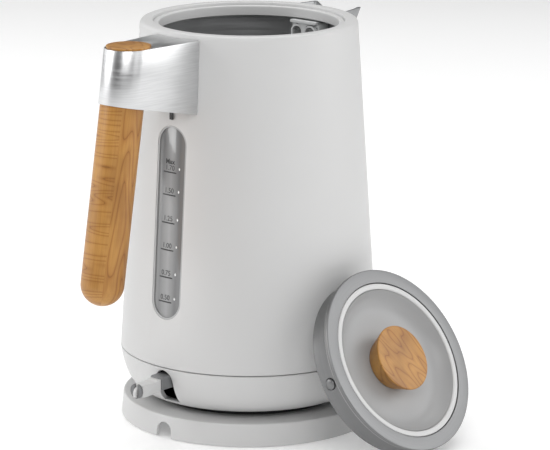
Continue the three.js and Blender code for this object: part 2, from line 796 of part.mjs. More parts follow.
const lidInnerPlate = () =>
  turned([
    [0, -LID_DEPTH + 0.4],
    [34, -LID_DEPTH + 0.4],
    [35, -LID_DEPTH + 1.2],
    [LID_SKIRT_R - 1.9, -LID_DEPTH + 1.2],
    [LID_SKIRT_R - 1.9, -LID_DEPTH + 2],
    [34.6, -LID_DEPTH + 2],
    [33.6, -LID_DEPTH + 1.2],
    [0, -LID_DEPTH + 1.2],
  ], MEDIUM);

const lidSeal = () =>
  turned([
    [LID_SKIRT_R + GAP, -LID_FLANGE - GAP],
    [LID_R - 0.4, -LID_FLANGE - GAP],
    [LID_R - 0.8, -LID_FLANGE - 1.3],
    [LID_SKIRT_R + GAP, -LID_FLANGE - 1.3],
  ]);

// A plunger points along +X; the left one is turned half round.
const catchPlunger = () =>
  turned([
    [0, CATCH.flange],
    [4.4, CATCH.flange],
    [4.4, CATCH.flange + 1.2],
    [CATCH.r, CATCH.flange + 1.2],
    [CATCH.r, CATCH.out - 1.4],
    [CATCH.r - 1, CATCH.out - 0.4],
    [0, CATCH.out],
  ], SMALL);

function catchSpring() {
  const spring = { r: 2.6, wire: 0.4, turns: 2 };
  const low = CATCH.seat + GAP + spring.wire;
  const rise = CATCH.flange - GAP - spring.wire - low;
  const points = Array.from({ length: 8 * spring.turns + 1 }, (_, i) => {
    const turn = (i / 8) * 2 * Math.PI;
    const along = low + (rise * i) / (8 * spring.turns);
    return new THREE.Vector3(spring.r * Math.cos(turn), spring.r * Math.sin(turn), along);
  });
  const path = new THREE.CatmullRomCurve3(points);
  const section = new THREE.Shape();
  section.absarc(0, 0, spring.wire, 0, 2 * Math.PI);
  const steps = 12 * spring.turns;
  return solid(new THREE.ExtrudeGeometry(section, { extrudePath: path, steps, curveSegments: 2 }));
}

const catchSeat = () => drum(4.2, CATCH.seat - 1, CATCH.seat);

// ---- assembly ----
const group = new THREE.Group();
const add = (name, shape, material) => group.add(piece(name, shape, material));

add('base_shell', baseShell(), paint.white());
add('base_cover', baseCover(), paint.lightPlastic());
add('base_connector', baseConnector(), paint.darkPlastic());
add('contact_pin', contactPin(), paint.brass());
add('contact_ring', contactRing(), paint.brass());
add('cord_cradle', cordCradle(), paint.darkPlastic());
add('cord_clamp', cordClamp(), paint.darkPlastic());
[-6.5, 6.5].forEach((y, i) => add(`clamp_screw_${i + 1}`, clampScrew(y), paint.steel()));
baseScrewPlaces().forEach((place, i) => add(`base_screw_${i + 1}`, baseScrew(place), paint.steel()));
baseFootPlaces().forEach((place, i) => add(`base_foot_${i + 1}`, baseFoot(place), paint.rubber()));

add('outer_shell', outerShell(), paint.white());
add('inner_vessel', innerVessel(), paint.darkSteel());
add('throat_ring', throatRing(), paint.white());
add('window_lens', windowLens(), paint.lens());
add('window_gasket', windowGasket(), paint.greyPlastic());
add('spout', spout(), paint.steel());
add('filter_housing', filterHousing(), paint.lightPlastic());
add('bottom_collar', bottomCollar(), paint.white());
add('jug_underside', jugUnderside(), paint.darkPlastic());
add('jug_foot_ring', jugFootRing(), paint.rubber());
add('jug_socket', jugSocket(), paint.darkPlastic());
add('socket_pin', socketPin(), paint.brass());
add('socket_ring', socketRing(), paint.brass());
add('heater_plate', heaterPlate(), paint.steel());
add('heating_element', heatingElement(), paint.steel());
add('control_block', controlBlock(), paint.darkPlastic());
add('bimetal_disc', bimetalDisc(), paint.brass());
add('handle_bracket', handleBracket(), paint.steel());
add('handle_rod', handleRod(), paint.wood());
add('handle_cap', handleCap(), paint.wood());
add('handle_bolt', handleBolt(), paint.steel());
add('bracket_tab', bracketTab(), paint.darkPlastic());
add('switch_cradle', switchCradle(), paint.darkPlastic());
add('switch_pin', switchPin(), paint.steel());
add('switch_hub', switchHub(), paint.greyPlastic());
add('switch_lever', switchLever(), paint.white());
add('lever_pad', leverPad(), paint.greyPlastic());
add('filter_frame', filterFrame(), paint.lightPlastic());
add('filter_mesh_left', filterMesh(1), paint.steel());
add('filter_mesh_right', filterMesh(-1), paint.steel());

// The skirt's lower back edge stands on the table and its upper back edge
// leans on the jug.
const lean = new THREE.Group();
const touchZ = 2 * LID_SKIRT_R * Math.sin(LID_TILT);
lean.rotation.x = LID_TILT;
lean.position.z = LID_DEPTH * Math.cos(LID_TILT) + LID_SKIRT_R * Math.sin(LID_TILT);
lean.position.y =
  -shellRadius(touchZ) - 0.4 - LID_DEPTH * Math.sin(LID_TILT) - LID_SKIRT_R * Math.cos(LID_TILT);

const addLid = (name, shape, material) => lean.add(piece(name, shape, material));
addLid('lid_ring', lidRing(), paint.grey());
addLid('lid_band', lidBand(), paint.white());
addLid('lid_dish', lidDish(), paint.grey());
addLid('lid_knob', lidKnob(), paint.wood());
addLid('knob_screw', knobScrew(), paint.steel());
addLid('knob_washer', knobWasher(), paint.steel());
addLid('lid_inner_plate', lidInnerPlate(), paint.steel());
addLid('lid_seal', lidSeal(), paint.rubber());

for (const [side, turn] of [['left', -Math.PI / 2], ['right', Math.PI / 2]]) {
  const fit = (shape) => {
    const geometry = geometryOf(shape).rotateY(turn);
    return geometry.translate(0, 0, -CATCH.depth);
  };
  addLid(`catch_${side}`, fit(catchPlunger()), paint.greyPlastic());
  addLid(`catch_spring_${side}`, fit(catchSpring()), paint.steel());
  addLid(`catch_seat_${side}`, fit(catchSeat()), paint.darkPlastic());
}
group.add(lean);

export default group;
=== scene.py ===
import json
import math

import bmesh
import bpy
from mathutils import Matrix, Vector

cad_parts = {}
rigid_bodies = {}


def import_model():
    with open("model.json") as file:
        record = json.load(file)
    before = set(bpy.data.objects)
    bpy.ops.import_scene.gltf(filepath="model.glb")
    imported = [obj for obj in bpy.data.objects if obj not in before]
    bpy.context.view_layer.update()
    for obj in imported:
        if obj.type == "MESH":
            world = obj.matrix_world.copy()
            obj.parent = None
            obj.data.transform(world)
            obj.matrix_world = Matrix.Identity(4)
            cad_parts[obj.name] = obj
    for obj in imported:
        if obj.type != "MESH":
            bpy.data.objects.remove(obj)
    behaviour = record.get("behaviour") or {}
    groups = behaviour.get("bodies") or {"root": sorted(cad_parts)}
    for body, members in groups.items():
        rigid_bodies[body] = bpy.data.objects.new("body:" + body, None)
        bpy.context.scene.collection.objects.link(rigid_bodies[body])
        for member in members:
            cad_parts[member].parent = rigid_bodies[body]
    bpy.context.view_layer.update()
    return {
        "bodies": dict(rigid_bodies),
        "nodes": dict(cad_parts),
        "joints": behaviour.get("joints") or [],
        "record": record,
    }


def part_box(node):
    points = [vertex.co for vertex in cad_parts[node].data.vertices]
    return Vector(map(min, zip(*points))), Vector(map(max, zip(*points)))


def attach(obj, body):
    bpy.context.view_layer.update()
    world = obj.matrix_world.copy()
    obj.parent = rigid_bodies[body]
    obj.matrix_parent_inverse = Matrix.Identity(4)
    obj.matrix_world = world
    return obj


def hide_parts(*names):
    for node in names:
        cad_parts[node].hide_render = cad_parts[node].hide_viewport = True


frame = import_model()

MM = 0.001
FINE = 160  # sides of the large round pieces
PLAIN = 96  # sides of the smaller ones


# ---- places from the frame, in millimetres ----
def corners(node):
    """The lowest and highest corners of a CAD node, in millimetres."""
    low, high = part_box(node)
    return Vector(low) / MM, Vector(high) / MM


SHELL_LOW, SHELL_HIGH = corners("outer_shell")
THROAT_LOW, THROAT_HIGH = corners("throat_ring")
COLLAR_LOW, COLLAR_HIGH = corners("bottom_collar")
BASE_LOW, BASE_HIGH = corners("base_shell")
WINDOW_LOW, WINDOW_HIGH = corners("window_gasket")
ROD_LOW = corners("handle_rod")[0]
CAP_LOW, CAP_HIGH = corners("handle_cap")
LID_HIGH = corners("lid_ring")[1]
HUB_LOW, HUB_HIGH = corners("switch_hub")
LEVER_LOW, LEVER_HIGH = corners("switch_lever")
PAD_LOW = corners("lever_pad")[0]
FRAME_LOW, FRAME_HIGH = corners("filter_frame")

# ---- the jug's outline ----
SHELL_R = SHELL_HIGH.x
SHELL_WALL = 2.0
RIM_Z = SHELL_HIGH.z
RIM_EDGE = 3.0
SEAM_Z = SHELL_LOW.z  # between the shell and the bottom collar
VESSEL_INSET = 2.3  # from the shell's outer face to the vessel's
VESSEL_WALL = 1.0
TAPER = (SHELL_R - (THROAT_HIGH.x + VESSEL_INSET)) / (THROAT_LOW.z - SEAM_Z)
MOUTH_R = 57.1
THROAT_R = 53.7
VESSEL_FLOOR_Z = 47.0


def shell_radius(z):
    """The shell's outer radius at a height."""
    return SHELL_R - (z - SEAM_Z) * TAPER


# ---- the lid's own frame: face up at z = 0 ----
LID_R = LID_HIGH.x
LID_SKIRT_R = 53.2
LID_DEPTH = 16.4
LID_FLANGE = 2.4
LID_TILT = math.radians(59)
LEAN_GAP = 0.28  # between the lid and the jug that it leans on
BAND_IN, BAND_OUT = 43.9, 47.7
DISH_DEPTH = 9.8
CATCH_R = 3.3
CATCH_DROP = 9.6
LID_Z = LID_DEPTH * math.cos(LID_TILT) + LID_SKIRT_R * math.sin(LID_TILT)
LID_Y = (
    -shell_radius(2 * LID_SKIRT_R * math.sin(LID_TILT)) - LEAN_GAP
    - LID_DEPTH * math.sin(LID_TILT) - LID_SKIRT_R * math.cos(LID_TILT)
)
LEAN = Matrix.Translation(Vector((0, LID_Y, LID_Z)) * MM) @ Matrix.Rotation(LID_TILT, 4, "X")

# ---- the handle's own frame: the rod's top end at z = 0 ----
ROD_R = 12.7
ROD_TOP = Vector(((CAP_LOW.x + CAP_HIGH.x) / 2, 0, CAP_LOW.z + 1.1))
ROD_END = Vector((ROD_LOW.x + ROD_R, 0, ROD_LOW.z + ROD_R))
ROD_TILT = math.atan2(ROD_TOP.x - ROD_END.x, ROD_TOP.z - ROD_END.z)
ROD_LENGTH = (ROD_TOP - ROD_END).length
ROD_FRAME = Matrix.Translation(ROD_TOP * MM) @ Matrix.Rotation(ROD_TILT, 4, "Y")


# ---- mesh helpers ----
def mesh_object(name, verts, faces):
    """An object from points in millimetres."""
    mesh = bpy.data.meshes.new(name)
    mesh.from_pydata([Vector(v) * MM for v in verts], [], faces)
    obj = bpy.data.objects.new(name, mesh)
    bpy.context.collection.objects.link(obj)
    turn_outward(obj)
    return obj


def turn_outward(obj):
    """Merges doubled points and turns every face outward."""
    work = bmesh.new()
    work.from_mesh(obj.data)
    bmesh.ops.remove_doubles(work, verts=work.verts, dist=1e-7)
    bmesh.ops.recalc_face_normals(work, faces=work.faces)
    work.to_mesh(obj.data)
    work.free()


def rounded(points, steps=4):
    """A closed outline whose corners (x, y, radius) are rounded."""
    outline = []
    count = len(points)
    for i, (x, y, *radius) in enumerate(points):
        here = Vector((x, y))
        if not radius:
            outline.append(here)
            continue
        before = Vector(points[i - 1][:2]) - here
        after = Vector(points[(i + 1) % count][:2]) - here
        half = before.angle(after) / 2
        reach = min(radius[0] / math.tan(half), before.length * 0.49, after.length * 0.49)
        start = here + before.normalized() * reach
        end = here + after.normalized() * reach
        for step in range(steps + 1):
            t = step / steps
            outline.append(start * (1 - t) ** 2 + here * 2 * t * (1 - t) + end * t ** 2)
    return outline


def bezier(a, b, c, d, steps):
    """The points of a cubic curve from a to d."""
    a, b, c, d = (Vector(p) for p in (a, b, c, d))
    curve = []
    for step in range(steps + 1):
        t = step / steps
        s = 1 - t
        curve.append(a * s ** 3 + b * 3 * s * s * t + c * 3 * s * t * t + d * t ** 3)
    return curve


def revolve(name, outline, sides=FINE):
    """A solid of revolution about Z. An outline that starts on the axis ends on it too."""
    on_axis = outline[0][0] < 1e-6
    verts = []
    for side in range(sides):
        turn = 2 * math.pi * side / sides
        for r, z in outline:
            verts.append((r * math.cos(turn), r * math.sin(turn), z))
    count = len(outline)
    spans = count - 1 if on_axis else count
    faces = []
    for side in range(sides):
        here, there = side * count, ((side + 1) % sides) * count
        for i in range(spans):
            j = (i + 1) % count
            faces.append((here + i, there + i, there + j, here + j))
    return mesh_object(name, verts, faces)


def loft(name, rings):
    """A solid through rings of equal point counts, closed at both ends."""
    count = len(rings[0])
    verts = [p for ring in rings for p in ring]
    faces = [tuple(range(count)), tuple(range(len(verts) - count, len(verts)))]
    for level in range(len(rings) - 1):
        for i in range(count):
            a = level * count + i
            b = level * count + (i + 1) % count
            faces.append((a, b, b + count, a + count))
    return mesh_object(name, verts, faces)


def prism(name, outline, low, high, frame=Matrix.Identity(3)):
    """An outline in a plane, carried from low to high along that plane's normal."""
    rings = [[frame @ Vector((p[0], p[1], h)) for p in outline] for h in (low, high)]
    return loft(name, rings)


FACING_X = Matrix(((0, 0, 1), (1, 0, 0), (0, 1, 0)))  # outline (y, z), carried along x
FACING_Y = Matrix(((1, 0, 0), (0, 0, 1), (0, 1, 0)))  # outline (x, z), carried along y


def block(name, low, high):
    outline = [(low[0], low[1]), (high[0], low[1]), (high[0], high[1]), (low[0], high[1])]
    return prism(name, outline, low[2], high[2])


def circle(radius, sides=48, centre=(0, 0)):
    turns = [2 * math.pi * i / sides for i in range(sides)]
    return [(centre[0] + radius * math.cos(t), centre[1] + radius * math.sin(t)) for t in turns]


def stadium(width, low, high, sides=24):
    r = width / 2
    turns = [math.pi * i / sides for i in range(sides + 1)]
    top = [(r * math.cos(t), high - r + r * math.sin(t)) for t in turns]
    bottom = [(-r * math.cos(t), low + r - r * math.sin(t)) for t in turns]
    return top + bottom


def archway(width, low, high, sides=24):
    r = width / 2
    turns = [math.pi * i / sides for i in range(sides + 1)]
    return [(r * math.cos(t), high - r + r * math.sin(t)) for t in turns] + [(-r, low), (r, low)]


def settle(obj):
    """Puts the result of an object's modifiers into its mesh."""
    bpy.context.view_layer.update()
    shaped = obj.evaluated_get(bpy.context.evaluated_depsgraph_get())
    mesh = bpy.data.meshes.new_from_object(shaped)
    obj.modifiers.clear()
    obj.data = mesh
    return obj


def carve(obj, *cutters, operation="DIFFERENCE"):
    for cutter in cutters:
        change = obj.modifiers.new("carve", "BOOLEAN")
        change.operation = operation
        change.solver = "EXACT"
        change.object = cutter
    settle(obj)
    for cutter in cutters:
        bpy.data.objects.remove(cutter)
    return obj


def soften(obj, width, segments=2, angle=35):
    """Rounds the sharp edges."""
    edge = obj.modifiers.new("soften", "BEVEL")
    edge.width = width * MM
    edge.segments = segments
    edge.limit_method = "ANGLE"
    edge.angle_limit = math.radians(angle)
    edge.harden_normals = False
    return settle(obj)


def smooth(obj, angle=32):
    mesh = obj.data
    mesh.polygons.foreach_set("use_smooth", [True] * len(mesh.polygons))
    mesh.set_sharp_from_angle(angle=math.radians(angle))
    return obj


def place(obj, body, look, slot, *nodes, frame=None, angle=32):
    """Finishes a piece: shading, place, material, body and the CAD nodes it stands for."""
    smooth(obj, angle)
    if frame is not None:
        obj.matrix_world = frame
        bpy.context.view_layer.update()
    obj.data.materials.clear()
    obj.data.materials.append(look)
    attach(obj, body)
    if nodes:
        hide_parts(*nodes)
    return obj


# ---- material helpers ----
def shader_of(name, color, roughness, metallic=0.0, coat=0.0, specular=0.5):
    look = bpy.data.materials.new(name)
    look.use_nodes = True
    shader = look.node_tree.nodes["Principled BSDF"]
    shader.inputs["Base Color"].default_value = (*color, 1)
    shader.inputs["Roughness"].default_value = roughness
    shader.inputs["Metallic"].default_value = metallic
    shader.inputs["Coat Weight"].default_value = coat
    shader.inputs["Specular IOR Level"].default_value = specular
    return look, look.node_tree, shader


def add(tree, kind, values=(), **settings):
    node = tree.nodes.new(kind)
    for key, value in settings.items():
        setattr(node, key, value)
    for socket, value in dict(values).items():
        if isinstance(value, bpy.types.NodeSocket):
            tree.links.new(value, node.inputs[socket])
        else:
            node.inputs[socket].default_value = value
    return node


def math_of(tree, operation, a, b=0.0):
    return add(tree, "ShaderNodeMath", {0: a, 1: b}, operation=operation).outputs[0]


def ramp_of(tree, factor, stops):
    ramp = add(tree, "ShaderNodeValToRGB", {"Fac": factor})
    elements = ramp.color_ramp.elements
    while len(elements) < len(stops):
        elements.new(0.5)
    for element, (position, color) in zip(elements, stops):
        element.position = position
        element.color = (*color, 1)
    return ramp.outputs["Color"]


def stretched_noise(tree, scale, detail=3.0, coords=None):
    """Noise whose scale along each axis is given per metre."""
    if coords is None:
        coords = add(tree, "ShaderNodeTexCoord").outputs["Object"]
    mapped = add(tree, "ShaderNodeMapping", {"Vector": coords, "Scale": scale})
    noise = {"Vector": mapped.outputs[0], "Scale": 1.0, "Detail": detail}
    return add(tree, "ShaderNodeTexNoise", noise).outputs["Fac"]


def roughen(tree, shader, factor, low, high):
    spread = {"Value": factor, "From Min": 0.3, "From Max": 0.7, "To Min": low, "To Max": high}
    tree.links.new(add(tree, "ShaderNodeMapRange", spread).outputs[0], shader.inputs["Roughness"])


def bump(tree, shader, height, strength, distance):
    relief = {"Height": height, "Strength": strength, "Distance": distance * MM}
    tree.links.new(add(tree, "ShaderNodeBump", relief).outputs[0], shader.inputs["Normal"])


def tint(tree, shader, factor, dark, light):
    color = ramp_of(tree, factor, [(0.3, dark), (0.7, light)])
    tree.links.new(color, shader.inputs["Base Color"])


def moulded(name, color, roughness, grain=0.02, coat=0.0):
    """Moulded plastic with a fine skin."""
    look, tree, shader = shader_of(name, color, roughness, coat=coat)
    skin = stretched_noise(tree, (2600, 2600, 2600), detail=2.0)
    cloud = stretched_noise(tree, (14, 14, 14))
    roughen(tree, shader, cloud, roughness - 0.03, roughness + 0.03)
    tint(tree, shader, cloud, tuple(c * 0.985 for c in color), color)
    bump(tree, shader, skin, 0.15, grain)
    return look


def brushed(name, color, roughness, scale, depth=0.012, spread=0.06):
    """Metal brushed along the axis with the smallest scale."""
    look, tree, shader = shader_of(name, color, roughness, metallic=1.0)
    lines = stretched_noise(tree, scale, detail=4.0)
    roughen(tree, shader, lines, roughness - spread, roughness + spread)
    tint(tree, shader, lines, tuple(c * 0.86 for c in color), color)
    bump(tree, shader, lines, 0.5, depth)
    return look


def turned_metal(name, color, roughness, metallic=1.0, pitch=1500, depth=0.01, shade=0.9):
    """Metal brushed in circles about the piece's own Z axis."""
    look, tree, shader = shader_of(name, color, roughness, metallic=metallic)
    coords = add(tree, "ShaderNodeTexCoord").outputs["Object"]
    split = add(tree, "ShaderNodeSeparateXYZ", {0: coords})
    flat = add(tree, "ShaderNodeCombineXYZ", {0: split.outputs[0], 1: split.outputs[1]})
    radius = add(tree, "ShaderNodeVectorMath", {0: flat.outputs[0]}, operation="LENGTH")
    angle = math_of(tree, "ARCTAN2", split.outputs[1], split.outputs[0])
    parts = {0: math_of(tree, "MULTIPLY", radius.outputs["Value"], pitch),
             1: math_of(tree, "MULTIPLY", angle, 1.2),
             2: math_of(tree, "MULTIPLY", split.outputs[2], pitch)}
    ringed = add(tree, "ShaderNodeCombineXYZ", parts).outputs[0]
    lines = stretched_noise(tree, (1, 1, 1), coords=ringed)
    roughen(tree, shader, lines, roughness - 0.05, roughness + 0.05)
    tint(tree, shader, lines, tuple(c * shade for c in color), color)
    bump(tree, shader, lines, 0.4, depth)
    return look


WOOD_DARK = (0.25, 0.095, 0.015)
WOOD_MID = (0.42, 0.185, 0.036)
WOOD_LIGHT = (0.51, 0.255, 0.058)


def grain_of(tree, across, along, across_scale, along_scale, rings):
    """Growth rings as the contour lines of a field drawn out along the grain."""
    u = math_of(tree, "MULTIPLY", across, across_scale)
    v = math_of(tree, "MULTIPLY", along, along_scale)
    plane = add(tree, "ShaderNodeCombineXYZ", {0: u, 1: v}).outputs[0]
    field = add(tree, "ShaderNodeTexNoise", {"Vector": plane, "Scale": 1.0, "Detail": 1.0})
    wave = math_of(tree, "SINE", math_of(tree, "MULTIPLY", field.outputs["Fac"], rings))
    return math_of(tree, "POWER", math_of(tree, "ABSOLUTE", wave), 0.6)


def wood(name, split_sides, swing=0.0):
    """Oiled wood. With split_sides the rings lie across the piece on its X sides."""
    look, tree, shader = shader_of(name, WOOD_MID, 0.42, coat=0.08)
    coords = add(tree, "ShaderNodeTexCoord").outputs["Object"]
    if swing:
        turn = {"Vector": coords, "Rotation": (0, 0, swing)}
        coords = add(tree, "ShaderNodeMapping", turn).outputs[0]
    split = add(tree, "ShaderNodeSeparateXYZ", {0: coords})
    x, y, z = split.outputs
    if split_sides:
        rings = grain_of(tree, x, z, 62, 13, 34)
        across = grain_of(tree, z, y, 90, 16, 34)
        side = math_of(tree, "GREATER_THAN", math_of(tree, "ABSOLUTE", x), math_of(tree, "ABSOLUTE", y))
        pick = {0: side, 2: rings, 3: across}
        rings = add(tree, "ShaderNodeMix", pick).outputs[0]
        fibres = stretched_noise(tree, (1400, 1400, 60), coords=coords)
    else:
        rings = grain_of(tree, x, y, 75, 14, 34)
        fibres = stretched_noise(tree, (1400, 50, 1400), coords=coords)
    patches = stretched_noise(tree, (40, 40, 28), coords=coords)
    ringed = ramp_of(tree, rings, [(0.0, WOOD_DARK), (0.35, WOOD_MID), (1.0, WOOD_LIGHT)])
    shaded = ramp_of(tree, patches, [(0.35, (0.72, 0.66, 0.6)), (0.6, (1, 1, 1))])
    fine = ramp_of(tree, fibres, [(0.3, (0.86, 0.84, 0.8)), (0.65, (1, 1, 1))])
    first = {0: 1.0, 6: ringed, 7: shaded}
    once = add(tree, "ShaderNodeMix", first, data_type="RGBA", blend_type="MULTIPLY").outputs[2]
    second = {0: 1.0, 6: once, 7: fine}
    twice = add(tree, "ShaderNodeMix", second, data_type="RGBA", blend_type="MULTIPLY").outputs[2]
    tree.links.new(twice, shader.inputs["Base Color"])
    roughen(tree, shader, fibres, 0.36, 0.5)
    bump(tree, shader, fibres, 0.25, 0.03)
    return look


def lens_look():
    """Clear grey plastic over the water gauge, with painted sheen and shade: paler down its middle, darker
    towards its edges.
    """
    look, tree, shader = shader_of("gauge_lens", (0.22, 0.225, 0.23), 0.12, coat=0.6)
    coords = add(tree, "ShaderNodeTexCoord").outputs["Object"]
    y = add(tree, "ShaderNodeSeparateXYZ", {0: coords}).outputs[1]
    far = math_of(tree, "ABSOLUTE", math_of(tree, "MULTIPLY", y, 1 / (10 * MM)))
    # painted sheen and shade: the base colour is palest at the window's middle and darker towards its edges
    stops = [(0.0, (0.30, 0.304, 0.308)), (0.35, (0.23, 0.233, 0.236)), (0.62, (0.16, 0.163, 0.166)),
             (0.9, (0.20, 0.203, 0.206))]
    tree.links.new(ramp_of(tree, far, stops), shader.inputs["Base Color"])
    ripple = stretched_noise(tree, (60, 260, 8))
    bump(tree, shader, ripple, 0.2, 0.05)
    return look


# ---- the materials ----
WHITE = moulded("white_satin", (0.60, 0.60, 0.598), 0.42, grain=0.006)
PALE = moulded("pale_plastic", (0.62, 0.63, 0.63), 0.5)
BLACK = moulded("black_plastic", (0.02, 0.02, 0.022), 0.5)
GREY = moulded("grey_plastic", (0.165, 0.168, 0.172), 0.42)
RUBBER = moulded("rubber", (0.035, 0.035, 0.036), 0.8, grain=0.05)
SEAL = moulded("seal_silicone", (0.3, 0.3, 0.3), 0.55)
INK = moulded("printed_ink", (0.015, 0.015, 0.016), 0.45, grain=0.004)
# white pips beside the marks: painted highlights where the lens shows small reflections
GLINT_WHITE = moulded("painted_glint_white", (0.9, 0.9, 0.9), 0.12, grain=0.002, coat=1.0)
STEEL = brushed("brushed_steel", (0.72, 0.725, 0.73), 0.34, (55, 55, 1500))
# painted shade: the spout's steel is a darker copy of the bracket's brushed steel, for its shaded flank
SHADED_SPOUT_STEEL = brushed("spout_steel", (0.31, 0.315, 0.32), 0.36, (70, 1200, 90))
VESSEL_STEEL = turned_metal("vessel_steel", (0.56, 0.565, 0.57), 0.38, pitch=900)
LID_METAL = turned_metal("lid_ring_metal", (0.24, 0.242, 0.245), 0.42, pitch=1300, shade=0.88)
DISH_METAL = moulded("dish_paint", (0.38, 0.384, 0.388), 0.4, grain=0.005)
MACHINED = turned_metal("machined_steel", (0.5, 0.5, 0.5), 0.3)
BRASS = turned_metal("brass", (0.62, 0.43, 0.17), 0.28)
CAST = moulded("cast_aluminium", (0.5, 0.5, 0.51), 0.45, grain=0.06)
HANDLE_WOOD = wood("handle_wood", True)
CAP_WOOD = wood("cap_wood", False, swing=math.radians(20))
KNOB_WOOD = wood("knob_wood", False, swing=math.radians(-28))
LENS = lens_look()
GASKET = moulded("gasket_plastic", (0.42, 0.425, 0.43), 0.25, grain=0.004, coat=0.4)


# ---- the jug ----
BACK_REACH = (-90, -50)  # how far cutters for the handle side run along X
OUTLET_HALF = 9
OUTLET_LOW, OUTLET_HIGH = 206, 231
SWITCH_ARCH_WIDTH = 12.8
SWITCH_ARCH_LOW, SWITCH_ARCH_TOP = 21.5, 42.1
WINDOW_WIDTH = 22.5
WINDOW_EDGE = 1.1
SLOT_LOW = WINDOW_LOW.z - 0.15
SLOT_HIGH = WINDOW_HIGH.z + 0.15
SEGMENT_LOW, SEGMENT_HIGH = SLOT_LOW - 3, SLOT_HIGH + 3


def slot_prism(edge):
    outline = stadium(WINDOW_WIDTH - 2 * edge, SLOT_LOW + edge, SLOT_HIGH - edge)
    return prism("slot", outline, *BACK_REACH, FACING_X)


def outlet_prism():
    return block("outlet", (50, -OUTLET_HALF, OUTLET_LOW), (80, OUTLET_HALF, OUTLET_HIGH))


def outer_shell():
    lip = RIM_Z - 3.8
    outline = rounded([
        (shell_radius(SEAM_Z), SEAM_Z, 0.5),
        (shell_radius(RIM_Z), RIM_Z, RIM_EDGE),
        (MOUTH_R, RIM_Z, 0.9),
        (MOUTH_R, lip, 0.3),
        (shell_radius(lip) - SHELL_WALL, lip),
        (shell_radius(SEAM_Z) - SHELL_WALL, SEAM_Z, 0.3),
    ], steps=8)
    shell = carve(revolve("shell", outline), slot_prism(0), outlet_prism())
    soften(shell, 0.45, 3)
    place(shell, "jug", WHITE, "white_plastic", "outer_shell")


def throat_ring():
    outline = rounded([
        (THROAT_R, THROAT_LOW.z, 0.4),
        (THROAT_HIGH.x, THROAT_LOW.z),
        (THROAT_HIGH.x, RIM_Z - 4.1),
        (MOUTH_R - 0.3, RIM_Z - 4.1),
        (MOUTH_R - 0.3, THROAT_HIGH.z, 0.2),
        (THROAT_R, THROAT_HIGH.z, 0.9),
    ])
    place(revolve("throat", outline), "jug", WHITE, "white_plastic", "throat_ring")


def inner_vessel():
    top = THROAT_LOW.z - 0.3
    corner_z = VESSEL_FLOOR_Z + 5
    outside = shell_radius(corner_z) - VESSEL_INSET
    wall_top = shell_radius(top) - VESSEL_INSET
    outline = [
        Vector((0, VESSEL_FLOOR_Z - VESSEL_WALL)),
        *rounded([
            (10, VESSEL_FLOOR_Z - VESSEL_WALL),
            (outside, VESSEL_FLOOR_Z - VESSEL_WALL, 6),
            (wall_top, top, 0.3),
            (wall_top - VESSEL_WALL, top, 0.3),
            (outside - VESSEL_WALL, VESSEL_FLOOR_Z, 5),
            (10, VESSEL_FLOOR_Z),
        ], steps=6),
        Vector((0, VESSEL_FLOOR_Z)),
    ]
    vessel = carve(revolve("vessel", outline), slot_prism(0), outlet_prism())
    place(vessel, "jug", VESSEL_STEEL, "vessel_steel", "inner_vessel")


def wall_layer(outer_inset, inner_inset):
    """A layer of the tapered wall, a little taller than the window."""
    low, high = SEGMENT_LOW, SEGMENT_HIGH
    outline = [
        (shell_radius(low) - outer_inset, low),
        (shell_radius(high) - outer_inset, high),
        (shell_radius(high) - inner_inset, high),
        (shell_radius(low) - inner_inset, low),
    ]
    return revolve("layer", outline)


LENS_DEPTH = 1.0  # from the shell's face in to the lens
GASKET_DEPTH = 0.35


def window():
    back = VESSEL_INSET + VESSEL_WALL
    lens = carve(wall_layer(LENS_DEPTH, back), slot_prism(WINDOW_EDGE + 0.1), operation="INTERSECT")
    soften(lens, 0.5, 3)
    place(lens, "jug", LENS, "window", "window_lens")
    gasket = carve(wall_layer(GASKET_DEPTH, back), slot_prism(0.12), operation="INTERSECT")
    carve(gasket, slot_prism(WINDOW_EDGE))
    soften(gasket, 0.3, 2)
    place(gasket, "jug", GASKET, "grey_plastic", "window_gasket")


LITRES = {"0.50": 83.3, "0.75": 98.0, "1.00": 114.4, "1.25": 130.6, "1.50": 147.2, "1.70": 160.7}  # heights
MARK_SPAN = (-6.2, 3.9)  # the marks' ends along -Y, from the window's middle
MARK_HEIGHT = 0.75
NUMERAL_HEIGHT = 3.1


def on_lens(across, z, lift=0.06):
    """A point on the lens's face, across its width and up the jug."""
    radius = shell_radius(z) - LENS_DEPTH + lift
    return Vector((-math.sqrt(radius * radius - across * across), -across, z))


def printed(name, verts, faces):
    """Ink with no thickness to speak of, wrapped on the lens."""
    mark = mesh_object(name, [on_lens(x, z) for x, z in verts], faces)
    skin = mark.modifiers.new("ink", "SOLIDIFY")
    skin.thickness = 0.05 * MM
    settle(mark)
    place(mark, "jug", INK, "dark_plastic")


def level_line(z):
    steps = 8
    left, right = MARK_SPAN
    verts = []
    for i in range(steps + 1):
        x = left + (right - left) * i / steps
        verts += [(x, z - MARK_HEIGHT / 2), (x, z + MARK_HEIGHT / 2)]
    faces = [(2 * i, 2 * i + 2, 2 * i + 3, 2 * i + 1) for i in range(steps)]
    printed(f"mark_{z:.0f}", verts, faces)


def numeral(text, z, height=NUMERAL_HEIGHT, bold=0.0):
    curve = bpy.data.curves.new("numeral", "FONT")
    curve.body = text
    curve.size = height * 1.37
    curve.offset = bold
    curve.align_x = "CENTER"
    letters = bpy.data.objects.new("numeral", curve)
    bpy.context.collection.objects.link(letters)
    bpy.context.view_layer.update()
    mesh = bpy.data.meshes.new_from_object(letters.evaluated_get(bpy.context.evaluated_depsgraph_get()))
    middle = sum(MARK_SPAN) / 2
    verts = [(v.co.x + middle, v.co.y + z) for v in mesh.vertices]
    faces = [tuple(p.vertices) for p in mesh.polygons]
    bpy.data.objects.remove(letters)
    printed(f"numeral_{text}", verts, faces)


